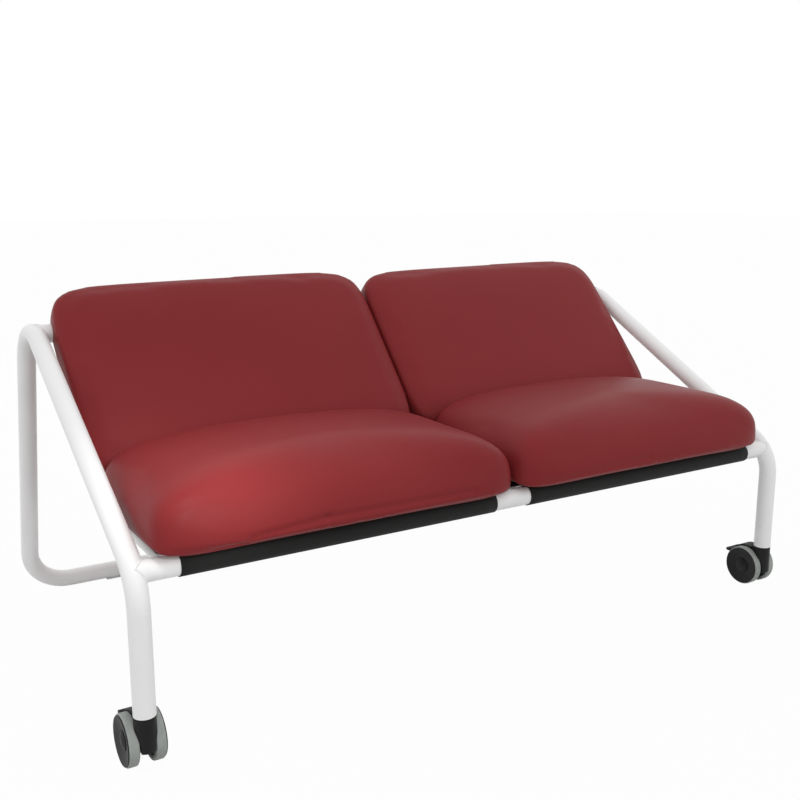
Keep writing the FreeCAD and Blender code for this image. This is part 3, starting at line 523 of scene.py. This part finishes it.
def laid_on(cover, line):
    """The line's points brought to the cover's surface."""
    surface = BVHTree.FromPolygons([v.co for v in cover.data.vertices],
                                   [f.vertices for f in cover.data.polygons])
    return [surface.find_nearest(point)[0] for point in line]


stitch_tree, start, given = growing_tree("stitch_row", ("Stitch pitch", "Stitch length", "Thread radius"))
lines = start.node("GeometryNodeMeshToCurve", None, {0: given["Lines"]})
marks = start.node("GeometryNodeCurveToPoints", {"mode": "LENGTH"},
                   {"Curve": lines, "Length": given["Stitch pitch"]})
heading = Wire(stitch_tree, marks.socket.node.outputs["Tangent"])
along_row = start.node("FunctionNodeAlignRotationToVector", {"axis": "X"}, {"Vector": heading})
bobbin = start.node("GeometryNodeMeshUVSphere", None, {"Segments": 6, "Rings": 5, "Radius": 1.0})
thick = start.node("ShaderNodeCombineXYZ", None, {0: given["Stitch length"] * 0.5, 1: given["Thread radius"],
                                                   2: given["Thread radius"]})
row = start.node("GeometryNodeInstanceOnPoints", None,
                 {"Points": marks, "Instance": bobbin, "Rotation": along_row, "Scale": thick})
end_tree(stitch_tree, start, row, given["Finish"])

red_thread, place, vary = finish("red_thread", {"Specular IOR Level": 0.3})
twist = noise(place, 1800, 2.0)
vary(
    Base_Color=twist.mixed((0.16, 0.014, 0.016, 1), (0.24, 0.028, 0.030, 1)),
    Roughness=0.55 + twist * 0.2,
    Normal=bump(twist, 0.3, 0.0002),
)

SEAT_ENDS = {"left": (-0.7285, -0.0030), "right": (0.0020, 0.7060)}
SEAT_MIDDLE = 0.1450
SEAT_FRONT = 0.1778
SEAT_REAR = 0.1660
RIM_HEIGHT = 0.3776
SEAT_UP = 0.1130
SEAT_DOWN = 0.0203
SEAT_CROWN = 0.0140
SEAT_SLANT = 0.024
NOSE_DROOP = 0.0036
CORNER_DROOP = 0.0170
NOSE_START = 0.020
NOSE_RUN = 0.030
SEAT_PLAN = (2.35, 5.5, 11.0, 4.2)
SEAT_FULLNESS = (1.94, 3.9, 4.0, 4.0)
SEAT_REST = 0.363
SEAT_REST_FADE = 0.004
SEAT_PARTING = -0.0005
HALF_GAP = 0.0008
SEAT_SEAM = -0.35
SEAT_SEAM_PRESS = (0.0022, 0.0050)
FOLD_PRESS = (0.0026, 0.0065)
STITCH_LIFT = (0, 0, 0.004)
SEAM_TURNS = np.linspace(0, 2 * math.pi, 720, endpoint=False)
STITCH = {"stitch_pitch": 0.0050, "stitch_length": 0.0034, "thread_radius": 0.00045, "finish": red_thread}


def seat_form(ends):
    def form(x, y, t):
        upper = np.clip(t, 0, 1)
        height = np.where(t < 0, t * SEAT_DOWN, t * SEAT_UP) - SEAT_CROWN * x * x * upper
        depth = SEAT_MIDDLE + np.where(y < 0, y * SEAT_FRONT, y * SEAT_REAR)
        depth += np.clip(y, 0, 1) * height / math.tan(BACK_LEAN)
        overhang = np.clip((NOSE_START - depth) / NOSE_RUN, 0, 1)
        height -= (NOSE_DROOP + CORNER_DROOP * x ** 4) * np.clip(-t, 0, 1) * overhang
        across = (ends[0] + ends[1]) / 2 + (ends[1] - ends[0]) / 2 * x * (1 - SEAT_SLANT * upper)
        return np.stack([across, depth + LEG_LINE, RIM_HEIGHT + height], axis=1)
    return form


def seat_held(points):
    """The base lies on the sling and stays flat."""
    return np.clip((SEAT_REST - points[:, 2]) / SEAT_REST_FADE, 0, 1)


def kept_apart(cover, side, plane):
    """Press the inner end flat where the neighbour's meets it."""
    spots = spots_of(cover.data)
    spots[:, 0] = plane + side * np.maximum(side * (spots[:, 0] - plane), HALF_GAP)
    cover.data.vertices.foreach_set("co", spots.ravel())
    cover.data.update()


def fold_line(ends, count=60):
    """A straight fold between two spots on the front of a seat."""
    share = np.linspace(0, 1, count)[:, None]
    return np.array(ends[0]) * (1 - share) + np.array(ends[1]) * share


FOLDS = {
    "left": (((-0.690, -0.4500, 0.3670), (-0.430, -0.4530, 0.3850)),
             ((-0.430, -0.4530, 0.3850), (-0.120, -0.4530, 0.3830))),
    "right": (((0.060, -0.4510, 0.3720), (0.330, -0.4530, 0.3840)),),
}
for side_name, side in (("left", -1), ("right", 1)):
    form = seat_form(SEAT_ENDS[side_name])
    seat = stuffed(side_name + "_seat_cover", *skin(form, SEAT_PLAN, SEAT_FULLNESS), seat_held, COVER_SWELL)
    kept_apart(seat, side, SEAT_PARTING)
    seam = form(*skin_spot(SEAM_TURNS, np.full(len(SEAM_TURNS), SEAT_SEAM), SEAT_PLAN, SEAT_FULLNESS))
    pressed(seat, laid_on(seat, seam), *SEAT_SEAM_PRESS)
    for ends in FOLDS[side_name]:
        pressed(seat, laid_on(seat, fold_line(ends)), *FOLD_PRESS)
    stitches = loops_piece(side_name + "_seat_stitches", [laid_on(seat, seam + np.array(STITCH_LIFT))])
    grow(stitches, stitch_tree, **STITCH)
    coat(seat, leather_red)
    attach(seat, "frame")
    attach(stitches, "frame")
    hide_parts(side_name + "_seat_cushion", side_name + "_seat_foam")

# Back cushions. The same foam and leather, made as a slip that is pulled down over the ribs and the top rail.
# The top is rolled and its corners are round, and a stitched seam joins the plain rear panel.

BACK_ENDS = {"left": (-0.7248, 0.0024), "right": (0.0044, 0.7225)}
BACK_MIDDLE = 0.2754
BACK_UP = 0.2326
BACK_OUT = 0.0379
BACK_IN = 0.0614
BACK_SHIFT = 0.0213
BACK_TILT = 0.0054
BACK_PLAN = (4.3, 6.75, 7.5, 4.0)
BACK_FULLNESS = (3.6, 6.1, 3.1, 5.2)
BACK_REST = 0.43
BACK_REST_FADE = 0.03
BACK_PARTING = 0.0034
BACK_SEAM = -0.62
BACK_SEAM_PRESS = (0.0025, 0.0055)
BACK_STITCHES = -0.69


def back_form(ends):
    def form(x, s, t):
        outward = BACK_SHIFT + np.where(t > 0, t * BACK_OUT, t * BACK_IN)
        along = BACK_MIDDLE + BACK_UP * s + BACK_TILT * x * np.clip(s, 0, 1)
        across = (ends[0] + ends[1]) / 2 + (ends[1] - ends[0]) / 2 * x
        depth, height = back_place(along, outward)
        return np.stack([across, depth + LEG_LINE, height], axis=1)
    return form


def back_held(points):
    """The bottom is pinched between the seat and the sling."""
    return np.clip((BACK_REST - points[:, 2]) / BACK_REST_FADE, 0, 1)


for side_name, side in (("left", -1), ("right", 1)):
    form = back_form(BACK_ENDS[side_name])
    back = stuffed(side_name + "_back_cover", *skin(form, BACK_PLAN, BACK_FULLNESS), back_held, COVER_SWELL)
    kept_apart(back, side, BACK_PARTING)
    seam = form(*skin_spot(SEAM_TURNS, np.full(len(SEAM_TURNS), BACK_SEAM), BACK_PLAN, BACK_FULLNESS))
    pressed(back, laid_on(back, seam), *BACK_SEAM_PRESS)
    inner = form(*skin_spot(SEAM_TURNS, np.full(len(SEAM_TURNS), BACK_STITCHES), BACK_PLAN, BACK_FULLNESS))
    stitches = loops_piece(side_name + "_back_stitches", [laid_on(back, inner)])
    grow(stitches, stitch_tree, **STITCH)
    coat(back, leather_red)
    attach(back, "frame")
    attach(stitches, "frame")
    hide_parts(side_name + "_back_cushion", side_name + "_back_foam")

# Casters. Each front leg has a black moulded housing that swivels on a stem, two wheels with black dished
# discs and grey soft treads, and a brake lever that tips down behind them.

black_plastic, place, vary = finish("black_plastic", {"Specular IOR Level": 0.22})
grain = noise(place, 1500, 2.0)
scuff = noise(place, 60, 4.0)
vary(
    Base_Color=scuff.ramped(0.5, 0.8).mixed((0.0060, 0.0060, 0.0065, 1), (0.011, 0.011, 0.012, 1)),
    Roughness=0.46 + scuff * 0.14,
    Normal=bump(grain, 0.15, 0.0002),
)
grey_tread, place, vary = finish("grey_tread", {"Specular IOR Level": 0.3})
wear = noise(place, 40, 4.0)
grain = noise(place, 900, 2.0)
vary(
    Base_Color=wear.ramped(0.4, 0.75).mixed((0.34, 0.36, 0.34, 1), (0.29, 0.31, 0.295, 1)),
    Roughness=0.55 + wear * 0.15,
    Normal=bump(grain, 0.12, 0.0003),
)
for side_name in ("left", "right"):
    for name in ("leg_plug", "caster_housing", "brake_lever"):
        coat(nodes[side_name + "_" + name], black_plastic)
    for name in ("caster_stem", "caster_axle", "lever_pin"):
        coat(nodes[side_name + "_" + name], zinc)
    for wheel in ("outer", "inner"):
        coat(nodes["%s_%s_hub" % (side_name, wheel)], black_plastic)
        coat(nodes["%s_%s_cap" % (side_name, wheel)], black_plastic)
        coat(nodes["%s_%s_tyre" % (side_name, wheel)], grey_tread)

# Studio. A pale floor that shows white with the object's faint shadow, an even white surround, two lamps that
# brighten the left seat, and a camera where the photograph was taken from.

FLOOR_HALF = 30
FLOOR_SHADE = 0.62
SEEN_WHITE = 0.97
SURROUND = 0.95


def seen_rays(tree):
    """1 where the camera sees a surface, straight or in a mirror or glass, and 0 for light on its way."""
    path = tree.nodes.new("ShaderNodeLightPath")
    camera_ray, glossy_ray, glass_ray = (Wire(tree, path.outputs["Is %s Ray" % kind])
                                         for kind in ("Camera", "Glossy", "Transmission"))
    return camera_ray.maths("MAXIMUM", camera_ray, glossy_ray.maths("MAXIMUM", glossy_ray, glass_ray))


floor_corners = [(x * FLOOR_HALF, y * FLOOR_HALF, 0) for x, y in ((-1, -1), (1, -1), (1, 1), (-1, 1))]
floor = piece_from("floor", floor_corners, [(0, 1, 2, 3)])
pale = bpy.data.materials.new("pale_floor")
pale.use_nodes = True
tree = pale.node_tree
lit = tree.nodes["Principled BSDF"]
lit.inputs["Base Color"].default_value = (FLOOR_SHADE, FLOOR_SHADE, FLOOR_SHADE, 1)
lit.inputs["Roughness"].default_value = 0.9
lit.inputs["Specular IOR Level"].default_value = 0.0
start = Wire(tree)
glow = start.node("ShaderNodeEmission", None, {"Color": (1, 1, 1, 1), "Strength": 1.0})
mixed = start.node("ShaderNodeMixShader", None,
                   {0: seen_rays(tree) * SEEN_WHITE, 1: Wire(tree, lit.outputs[0]), 2: glow})
tree.links.new(mixed.socket, tree.nodes["Material Output"].inputs["Surface"])
floor.data.materials.append(pale)

world = bpy.data.worlds.new("studio")
bpy.context.scene.world = world
world.use_nodes = True
tree = world.node_tree
level = SURROUND + seen_rays(tree) * (1 - SURROUND)
tree.links.new(level.socket, tree.nodes["Background"].inputs["Strength"])
tree.nodes["Background"].inputs["Color"].default_value = (1, 1, 1, 1)


def softbox(name, place, aim, width, height, power, spread):
    lamp = bpy.data.lights.new(name, "AREA")
    lamp.shape = "RECTANGLE"
    lamp.size = width
    lamp.size_y = height
    lamp.energy = power
    lamp.spread = math.radians(spread)
    lamp_object = bpy.data.objects.new(name, lamp)
    lamp_object.location = place
    lamp_object.rotation_euler = (Vector(aim) - Vector(place)).to_track_quat("-Z", "Y").to_euler()
    bpy.context.scene.collection.objects.link(lamp_object)


softbox("key", (-0.60, -1.10, 2.15), (-0.54, -0.40, 0.45), 0.4, 0.4, 0.36, 26)
softbox("front", (-0.60, -2.30, 1.45), (-0.61, -0.43, 0.48), 0.15, 0.15, 0.09, 9)

lens = bpy.data.cameras.new("camera")
lens.lens = 45.32
lens.sensor_width = 36
camera = bpy.data.objects.new("camera", lens)
camera.location = (-1.1884, -1.9217, 0.9354)
camera.rotation_euler = (math.radians(78.16), 0, math.radians(-31.73))
bpy.context.scene.collection.objects.link(camera)
bpy.context.scene.camera = camera
bpy.context.scene.view_settings.view_transform = "Standard"
